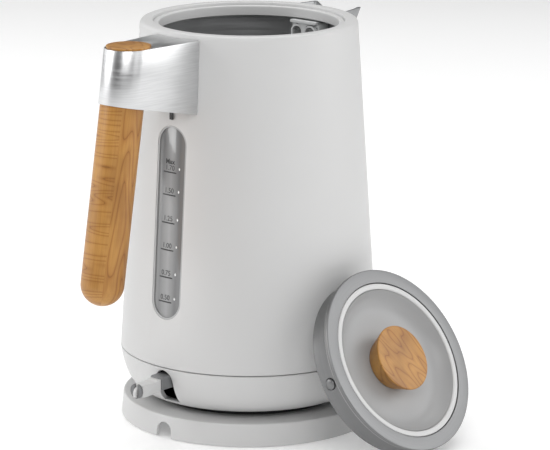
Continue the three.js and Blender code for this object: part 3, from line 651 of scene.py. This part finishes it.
def glint_pip(z):
    """A small glossy pip that stands out of the lens beside a mark; its white colour is a painted highlight
    in place of a reflection.
    """
    centre = on_lens(MARK_SPAN[1] + 2.2, z + 2.6)
    work = bmesh.new()
    bmesh.ops.create_uvsphere(work, u_segments=16, v_segments=8, radius=0.55)
    for vert in work.verts:
        vert.co = Vector((vert.co.x * 0.5, vert.co.y, vert.co.z * 1.5)) + centre
    mesh = bpy.data.meshes.new("glint_pip")
    work.to_mesh(mesh)
    work.free()
    mesh.transform(Matrix.Scale(MM, 4))
    pip = bpy.data.objects.new("glint_pip", mesh)
    bpy.context.collection.objects.link(pip)
    place(pip, "jug", GLINT_WHITE, "window")


def litre_scale():
    for text, z in LITRES.items():
        level_line(z)
        numeral(text, z + 1.3)
        glint_pip(z)
    numeral("Max", max(LITRES.values()) + 5.0, height=3.0, bold=0.09)


COLLAR_FOOT_R = 62.0


def bottom_collar():
    top = COLLAR_HIGH.z - 1.9
    low = COLLAR_LOW.z
    outside = bezier((SHELL_R, top - 0.4), (76.6, 33), (73, low), (COLLAR_FOOT_R, low), 20)
    inside = bezier((COLLAR_FOOT_R, low + 2.2), (70.2, low + 2.2), (73.4, 33), (74.2, top - 2.4), 10)
    outline = [
        Vector((74.2, COLLAR_HIGH.z)),
        Vector((75.5, COLLAR_HIGH.z)),
        Vector((75.5, top)),
        Vector((SHELL_R - 0.5, top)),
        *outside,
        *inside,
    ]
    arch = archway(SWITCH_ARCH_WIDTH, SWITCH_ARCH_LOW, SWITCH_ARCH_TOP)
    hole = prism("hole", arch, -90, -60, FACING_X)
    collar = carve(revolve("collar", outline), hole)
    soften(collar, 0.5, 3)
    place(collar, "jug", WHITE, "white_plastic", "bottom_collar")


# ---- the spout ----
SPOUT_LOW, SPOUT_HIGH = corners("spout")
SPOUT_KEEL_Z = SPOUT_LOW.z - 2
SPOUT_TIP = 83.6
SPOUT_HALF = 18.4
SPOUT_ROOT_HALF = 22.0
SPOUT_WALL = 1.3
SPOUT_DIP = 9.0
SPOUT_ROOT_X = 69  # behind this the sheet keeps its full height


def beak_ring(z, inset):
    """One level of the beak, from inside the jug's wall out to its front."""
    grown = (z - SPOUT_KEEL_Z) / (SPOUT_HIGH.z - SPOUT_KEEL_Z)
    wall = shell_radius(z)
    reach = (SPOUT_TIP - shell_radius(SPOUT_HIGH.z)) * grown
    front = wall + max(reach - inset, 0.2)
    root_half = max(SPOUT_ROOT_HALF * grown - inset, 0.3)
    tip_half = max(SPOUT_HALF * grown - inset, 0.2)
    bulge = 1.5 * grown
    side = rounded([
        (wall - 8, -root_half),
        (wall - 2, -root_half),
        (front, -tip_half, min(2.2, tip_half * 0.6)),
        (front + bulge, 0, tip_half),
        (front, tip_half, min(2.2, tip_half * 0.6)),
        (wall - 2, root_half),
        (wall - 8, root_half),
    ], steps=6)
    return [Vector((p.x, p.y, z)) for p in side]


def cone_about_jug(room):
    low, high = SEAM_Z, RIM_Z + 5
    outline = [(0, low), (shell_radius(low) + room, low), (shell_radius(high) + room, high), (0, high)]
    return revolve("cone", outline)


def beak_top(y):
    """The lip's height: low in the middle, up to an ear at each side."""
    share = y / (SPOUT_HALF - 1.5)
    return min(SPOUT_HIGH.z, SPOUT_HIGH.z + 1 - (SPOUT_DIP + 1.2) * (1 - share * share))


def spout():
    """A sheet folded round the beak: its outer skin, then its inner one."""
    levels = 24
    tops = [beak_top(p.y) if p.x > SPOUT_ROOT_X else SPOUT_HIGH.z for p in beak_ring(SPOUT_HIGH.z, 0)]
    columns = len(tops)
    verts = []
    for inset, foot in ((0, SPOUT_KEEL_Z + 2), (SPOUT_WALL, SPOUT_KEEL_Z + 6)):
        for level in range(levels + 1):
            for i, top in enumerate(tops):
                verts.append(beak_ring(foot + (top - foot) * level / levels, inset)[i])
    skin = (levels + 1) * columns
    faces = []
    for level in range(levels):
        for i in range(columns - 1):
            a, b = level * columns + i, (level + 1) * columns + i
            faces.append((a, a + 1, b + 1, b))
            faces.append((skin + a, skin + b, skin + b + 1, skin + a + 1))
        for i in (0, columns - 1):
            a, b = level * columns + i, (level + 1) * columns + i
            faces.append((a, b, skin + b, skin + a))
    for row in (0, levels * columns):
        for i in range(row, row + columns - 1):
            faces.append((i, i + 1, skin + i + 1, skin + i))
    sheet = mesh_object("spout_sheet", verts, faces)
    carve(sheet, cone_about_jug(0.3))
    soften(sheet, 0.3, 2)
    place(sheet, "jug", SHADED_SPOUT_STEEL, "spout_steel", "spout")


# ---- the filter ----
PANEL_R = 4.75  # of the arch over each of the two panels
PANEL_Y = 5.05
PANEL_ARCH_Z = 227.4
PANEL_FACE = 50.2
WIRE_PITCH = 1.05
WIRE_R = 0.16


def filter_panel(side, grow, x0, x1):
    """A round-topped panel on one side of the middle post."""
    outline = archway(2 * (PANEL_R + grow), FRAME_LOW.z - grow, PANEL_ARCH_Z + PANEL_R + grow)
    return prism("panel", [(y + side * PANEL_Y, z) for y, z in outline], x0, x1, FACING_X)


def filter_frame():
    face, back = PANEL_FACE, FRAME_HIGH.x
    tab_low = FRAME_HIGH.z - 1.8
    spread = ((1.5, PANEL_ARCH_Z + 2.6), (1.9, tab_low - 1.2), (4.0, tab_low - 0.4), (6.3, tab_low + 0.4))
    flare = bezier(*spread, 6)
    post = prism("post", [
        (-1.4, FRAME_LOW.z), (1.4, FRAME_LOW.z), (1.4, PANEL_ARCH_Z + 0.6),
        *flare,
        *[(-y, z) for y, z in reversed(flare)],
        (-1.4, PANEL_ARCH_Z + 0.6),
    ], face - 0.3, back, FACING_X)
    half = FRAME_HIGH.y
    tab = prism("tab", rounded([
        (-half, tab_low, 0.5),
        (half, tab_low, 0.5),
        (half, FRAME_HIGH.z, 0.7),
        (-half, FRAME_HIGH.z, 0.7),
    ]), FRAME_LOW.x, back, FACING_X)
    carve(post, tab, filter_panel(-1, 0, face, back), filter_panel(1, 0, face, back), operation="UNION")
    carve(post, *[filter_panel(side, grow, *span) for side in (-1, 1)
                  for grow, span in ((-1.1, (face - 1, back)), (-0.6, (face + 0.9, back + 1)))])
    soften(post, 0.2, 2)
    place(post, "spout_filter", PALE, "light_plastic", "filter_frame")


def filter_mesh(side, node):
    """Woven wire, clipped to the round-topped panel."""
    low, high = corners(node)
    middle_y, radius = side * PANEL_Y, PANEL_R - 0.95
    verts, faces = [], []

    def strand(start, end):
        along = (end - start).normalized()
        one = along.cross(Vector((1, 0, 0))) * WIRE_R
        two = Vector((WIRE_R, 0, 0))
        base = len(verts)
        for point in (start, end):
            verts.extend([point + one, point + two, point - one, point - two])
        for i in range(4):
            j = (i + 1) % 4
            faces.append((base + i, base + j, base + 4 + j, base + 4 + i))
        faces.extend([(base, base + 1, base + 2, base + 3), (base + 7, base + 6, base + 5, base + 4)])

    middle = (low.x + high.x) / 2
    for i in range(1, 7):
        across = -radius + i * WIRE_PITCH
        top = PANEL_ARCH_Z + math.sqrt(max(radius ** 2 - across ** 2, 0.01))
        y = middle_y + across
        strand(Vector((middle - 0.09, y, low.z + 0.2)), Vector((middle - 0.09, y, top)))
    z = low.z + WIRE_PITCH
    while z < high.z - 0.4:
        rise = max(z - PANEL_ARCH_Z, 0)
        half = math.sqrt(max(radius ** 2 - rise ** 2, 0.01))
        strand(Vector((middle + 0.09, middle_y - half, z)), Vector((middle + 0.09, middle_y + half, z)))
        z += WIRE_PITCH
    screen = mesh_object("wire_mesh", verts, faces)
    place(screen, "spout_filter", MACHINED, "vessel_steel", node)


# ---- the handle ----
BRACKET_ROOT = 67.5
BRACKET_TOP = CAP_LOW.z
BRACKET_HALF = 17.1
BRACKET_ROOT_R = 62.8  # how far from the jug's axis the half width is taken
BRACKET_R = 13.8
UNDERSIDE_SLOPE = 0.213


def underside_z(x):
    """The bracket's sloping underside."""
    bracket_low = corners("handle_bracket")[0].z
    return bracket_low + (-x - BRACKET_ROOT) * UNDERSIDE_SLOPE


def bracket_prism(radius, half_width):
    run = -ROD_TOP.x - BRACKET_ROOT_R
    flank = math.atan2(half_width - radius, run)
    start = math.pi / 2 + flank
    turns = [start + (2 * math.pi - 2 * start) * i / 40 for i in range(41)]
    root = half_width + 8 * math.tan(flank)
    outline = [(run + 8, -root), (run + 8, root)]
    outline += [(radius * math.cos(t), radius * math.sin(t)) for t in turns]
    plan = prism("plan", outline, -60, 20)
    plan.data.transform(ROD_FRAME)
    return plan


def bracket_slice(trim):
    far, near = -150, -50
    outline = [
        (far, underside_z(far) + trim),
        (near, underside_z(near) + trim),
        (near, BRACKET_TOP - trim),
        (far, BRACKET_TOP - trim),
    ]
    return prism("slice", outline, -30, 30, FACING_Y)


def rod_cylinder(radius, low, high, sides=64):
    bar = prism("bar", circle(radius, sides), low, high)
    bar.data.transform(ROD_FRAME)
    return bar


def handle_bracket():
    skin = 1.5
    bracket = carve(bracket_prism(BRACKET_R, BRACKET_HALF), bracket_slice(0), operation="INTERSECT")
    hollow = carve(bracket_prism(BRACKET_R - skin, BRACKET_HALF - skin), bracket_slice(skin),
                   operation="INTERSECT")
    carve(bracket, hollow, rod_cylinder(ROD_R + 0.3, -70, 20), cone_about_jug(0.3))
    soften(bracket, 0.35, 2)
    place(bracket, "jug", STEEL, "brushed_steel", "handle_bracket")


def handle_rod():
    turns = [-math.pi / 2 + math.pi / 2 * i / 20 for i in range(21)]
    outline = [(ROD_R * math.cos(t), ROD_R * math.sin(t) - ROD_LENGTH) for t in turns]
    outline[0] = (0, -ROD_LENGTH - ROD_R)
    outline += [(ROD_R, 0), (0, 0)]
    rod = revolve("rod", outline, PLAIN)
    above = block("above", (-60, -30, 0), (60, 30, 40))
    top = Matrix.Translation(Vector((ROD_TOP.x, 0, BRACKET_TOP - 0.3)) * MM)
    above.data.transform(ROD_FRAME.inverted() @ top)
    carve(rod, above)
    place(rod, "jug", HANDLE_WOOD, "wood", "handle_rod", "handle_bolt", frame=ROD_FRAME)


def handle_cap():
    radius = (CAP_HIGH.x - CAP_LOW.x) / 2
    thick = CAP_HIGH.z - CAP_LOW.z
    outline = [
        Vector((0, 0)),
        *rounded([(5, 0), (radius, 0), (radius, thick, 0.4), (5, thick)]),
        Vector((0, thick)),
    ]
    spot = Matrix.Translation(Vector((ROD_TOP.x, 0, CAP_LOW.z)) * MM)
    place(revolve("cap", outline, PLAIN), "jug", CAP_WOOD, "wood", "handle_cap", frame=spot)


# ---- the switch ----
def switch_hub():
    front, back = HUB_LOW.x, HUB_HIGH.x
    low, high = HUB_LOW.z, HUB_HIGH.z
    round_r = (high - low) / 2
    side = rounded([
        (front, low, 1.4),
        (back, low, round_r * 0.98),
        (back, high, round_r * 0.98),
        (front, high, 1.8),
    ], steps=10)
    hub = prism("hub", side, HUB_LOW.y, HUB_HIGH.y, FACING_Y)
    soften(hub, 0.5, 3)
    place(hub, "switch", GREY, "grey_plastic", "switch_hub")


def switch_lever():
    """The white bar, and the fin that curves down over the grey pad."""
    width = LEVER_HIGH.y - LEVER_LOW.y
    root, end = HUB_LOW.x - 0.3, PAD_LOW.x + 1.7
    low, high = LEVER_LOW.z, LEVER_HIGH.z - 0.7
    bar = prism("bar", rounded([
        (root, low),
        (end, low, 0.8),
        (end, high, 1.6),
        (root - 3.6, high, 0.8),
        (root - 2.6, high + 0.7, 0.5),
        (root, high + 0.7, 0.3),
    ]), -width / 2, width / 2, FACING_Y)
    tip, foot = LEVER_LOW.x, PAD_LOW.z + 0.9
    face = PAD_LOW.x - 0.3
    curve = bezier((end + 3, high), (end - 2, high - 0.4), (tip - 1.0, high - 3.6), (face - 0.8, foot), 14)
    web = PAD_LOW.z + 2.2
    fin = prism("fin", [*curve, (face, foot), (face, web), (end + 3, web)], -0.9, 0.9, FACING_Y)
    carve(bar, fin, operation="UNION")
    soften(bar, 0.3, 3)
    place(bar, "switch", WHITE, "white_plastic", "switch_lever")


# ---- the power base ----
NOTCH_WIDTH = 11.2
NOTCH_TOP = 9.9


def base_shell():
    top, low, radius = 14.0, BASE_LOW.z, BASE_HIGH.x
    wall = 2.2
    outline = rounded([
        (radius, low, 0.4),
        (radius - 1.4, top, 1.2),
        (22, top),
        (21, top + 1, 0.4),
        (15.1, top + 1, 0.4),
        (15.1, top - wall),
        (radius - 1.4 - 2.4, top - wall),
        (radius - wall, low, 0.4),
    ], steps=6)
    notch = prism("notch", archway(NOTCH_WIDTH, -1, NOTCH_TOP), -90, -70, FACING_X)
    shell = carve(revolve("base_white", outline), notch)
    soften(shell, 0.4, 3)
    place(shell, "power_base", WHITE, "white_plastic", "base_shell")


# ---- the lid ----
def lid_piece(obj, body, look, slot, *nodes):
    return place(obj, body, look, slot, *nodes, frame=LEAN)


def lid_ring():
    wall = 1.6
    inner = BAND_OUT + 0.3
    outline = rounded([
        (inner, 0, 0.3),
        (LID_R, 0, 0.5),
        (LID_R, -LID_FLANGE, 0.3),
        (LID_SKIRT_R, -LID_FLANGE),
        (LID_SKIRT_R, -LID_DEPTH, 0.7),
        (LID_SKIRT_R - wall, -LID_DEPTH, 0.3),
        (LID_SKIRT_R - wall, -LID_FLANGE),
        (inner, -LID_FLANGE),
    ])
    bore = prism("bore", circle(CATCH_R + 0.3, 48, (0, -CATCH_DROP)), -80, 80, FACING_X)
    ring = carve(revolve("lid_metal", outline), bore)
    soften(ring, 0.25, 2)
    lid_piece(ring, "lid", LID_METAL, "lid_metal", "lid_ring")


def lid_band():
    outline = rounded([
        (BAND_IN + 0.3, -0.8, 0.5),
        (BAND_IN + 1.0, -0.3, 0.8),
        (BAND_OUT - 0.3, -0.3, 0.8),
        (BAND_OUT, -0.9, 0.3),
        (BAND_OUT, -LID_FLANGE),
        (BAND_IN + 0.3, -LID_FLANGE),
    ])
    lid_piece(revolve("band", outline), "lid", WHITE, "white_plastic", "lid_band")


def lid_dish():
    skin = 1.2
    flat = 24

    def sweep(drop):
        edge = (BAND_IN, -1 - drop)
        low = -DISH_DEPTH - drop
        return bezier(edge, (BAND_IN - 5, low), (flat + 12, low), (flat, low), 24)

    outline = [Vector((3, -DISH_DEPTH)), *reversed(sweep(0)), *sweep(skin), Vector((3, -DISH_DEPTH - skin))]
    lid_piece(revolve("dish", outline), "lid", DISH_METAL, "dish_metal", "lid_dish")


def lid_knob():
    face, back, above = 20.2, 15.0, 3.2
    low = -DISH_DEPTH + 0.3
    outline = [
        Vector((0, low)),
        *rounded([(6, low), (back, low, 0.5), (face, above, 0.8), (6, above)]),
        Vector((0, above)),
    ]
    lid_piece(revolve("knob", outline, PLAIN), "lid", KNOB_WOOD, "knob_wood", "lid_knob", "knob_screw")


def lid_catch(side, sign):
    """A spring plunger with a domed end, standing out of the skirt."""
    shoulder = LID_SKIRT_R - 1.9
    outline = [
        Vector((0, shoulder - 2.5)),
        *rounded([(1, shoulder - 2.5), (4.4, shoulder - 2.5, 0.3), (4.4, shoulder - 1.4, 0.3),
                  (CATCH_R, shoulder - 1.4), (CATCH_R, 54.0, 1.2), (1, 54.6)]),
        Vector((0, 54.6)),
    ]
    plunger = revolve("plunger", outline, 48)
    drop = Matrix.Translation(Vector((0, 0, -CATCH_DROP)) * MM)
    swing = Matrix.Rotation(sign * math.pi / 2, 4, "Y")
    plunger.data.transform(drop @ swing)
    lid_piece(plunger, f"lid_catch_{side}", LID_METAL, "grey_plastic", f"catch_{side}")


def lid_seal():
    low = -LID_FLANGE - 1.3
    outline = rounded([
        (LID_SKIRT_R + 0.3, low, 0.2),
        (LID_R - 0.8, low, 0.4),
        (LID_R - 0.4, -LID_FLANGE - 0.3, 0.2),
        (LID_SKIRT_R + 0.3, -LID_FLANGE - 0.3),
    ])
    lid_piece(revolve("seal", outline), "lid", SEAL, "seal_rubber", "lid_seal")


# ---- CAD pieces that keep their own shape ----
KEPT = {
    BLACK: ["base_connector", "cord_cradle", "cord_clamp", "jug_underside", "jug_socket", "control_block",
            "switch_cradle", "bracket_tab", "catch_seat_left", "catch_seat_right"],
    PALE: ["base_cover", "filter_housing"],
    GREY: ["lever_pad"],
    RUBBER: ["base_foot_1", "base_foot_2", "base_foot_3", "jug_foot_ring"],
    BRASS: ["contact_pin", "contact_ring", "socket_pin", "socket_ring", "bimetal_disc"],
    CAST: ["heater_plate"],
    MACHINED: ["heating_element", "switch_pin", "clamp_screw_1", "clamp_screw_2", "base_screw_1",
               "base_screw_2", "base_screw_3", "knob_washer", "catch_spring_left", "catch_spring_right"],
    VESSEL_STEEL: ["lid_inner_plate"],
}


def finish_kept_nodes():
    for look, nodes in KEPT.items():
        for node in nodes:
            obj = frame["nodes"][node]
            obj.data.materials.clear()
            obj.data.materials.append(look)
            smooth(obj)


# ---- studio ----
def floor():
    half = 6.0
    bpy.ops.mesh.primitive_plane_add(size=2 * half)
    ground = bpy.context.object
    ground.name = "floor"
    look, tree, shader = shader_of("floor_paper", (0.93, 0.93, 0.93), 0.9, specular=0.1)
    cloud = stretched_noise(tree, (3, 3, 3))
    tint(tree, shader, cloud, (0.855, 0.855, 0.855), (0.865, 0.865, 0.865))
    shader.inputs["Emission Color"].default_value = (1, 1, 1, 1)
    shader.inputs["Emission Strength"].default_value = 0.2
    ground.data.materials.append(look)


def area_light(name, place_at, aim, size, power, color=(1, 1, 1)):
    data = bpy.data.lights.new(name, "AREA")
    data.shape = "RECTANGLE"
    data.size, data.size_y = size
    data.energy = power
    data.color = color
    light = bpy.data.objects.new(name, data)
    light.location = place_at
    light.rotation_euler = (Vector(aim) - Vector(place_at)).to_track_quat("-Z", "Y").to_euler()
    bpy.context.collection.objects.link(light)


def studio():
    """A ring of soft boxes, each placed away from the camera, to its right and up."""
    floor()
    away = Vector((0.7547, 0.6561, 0))
    right = Vector((0.6561, -0.7547, 0))
    boxes = [
        ("over", (0, 0, 1.9), (2.2, 2.2), 13.4),
        ("over_back", (1.0, 0, 1.6), (1.6, 1.2), 11.0),
        ("right", (0, 1.7, 0.8), (1.2, 1.2), 12.3),
        ("right_front", (-1.2, 1.3, 0.9), (1.0, 1.2), 4.9),
        ("left", (0, -1.7, 0.8), (1.2, 1.2), 16.8),
        ("front", (-1.9, 0, 1.3), (1.4, 1.0), 17.9),
        ("left_back", (1.2, -1.3, 0.8), (1.0, 1.2), 5.5),
        ("right_back", (1.2, 1.3, 0.8), (1.0, 1.2), 2.1),
    ]
    for name, (back, side, up), size, power in boxes:
        spot = away * back + right * side + Vector((0, 0, up))
        area_light(name, spot, (0, 0, 0.12), size, power)
    world = bpy.data.worlds.new("studio")
    world.use_nodes = True
    sky = world.node_tree.nodes["Background"]
    sky.inputs["Color"].default_value = (1, 1, 1, 1)
    sky.inputs["Strength"].default_value = 0.06
    bpy.context.scene.world = world
    bpy.context.scene.view_settings.view_transform = "Standard"


def camera():
    data = bpy.data.cameras.new("camera")
    data.sensor_width = 36
    data.lens = 207.75
    data.shift_x = 0.0475
    data.clip_start = 0.05
    data.clip_end = 50
    shot = bpy.data.objects.new("camera", data)
    shot.location = (-1.4068, -1.2229, 0.5724)
    pitch = math.radians(90 - 13.75)
    heading = math.atan2(0.6561, 0.7547) - math.pi / 2
    shot.rotation_euler = (pitch, 0, heading)
    bpy.context.collection.objects.link(shot)
    bpy.context.scene.camera = shot


camera()
studio()
outer_shell()
throat_ring()
inner_vessel()
window()
litre_scale()
bottom_collar()
spout()
filter_frame()
filter_mesh(1, "filter_mesh_left")
filter_mesh(-1, "filter_mesh_right")
handle_bracket()
handle_rod()
handle_cap()
switch_hub()
switch_lever()
base_shell()
lid_ring()
lid_band()
lid_dish()
lid_knob()
lid_seal()
lid_catch("left", -1)
lid_catch("right", 1)
finish_kept_nodes()
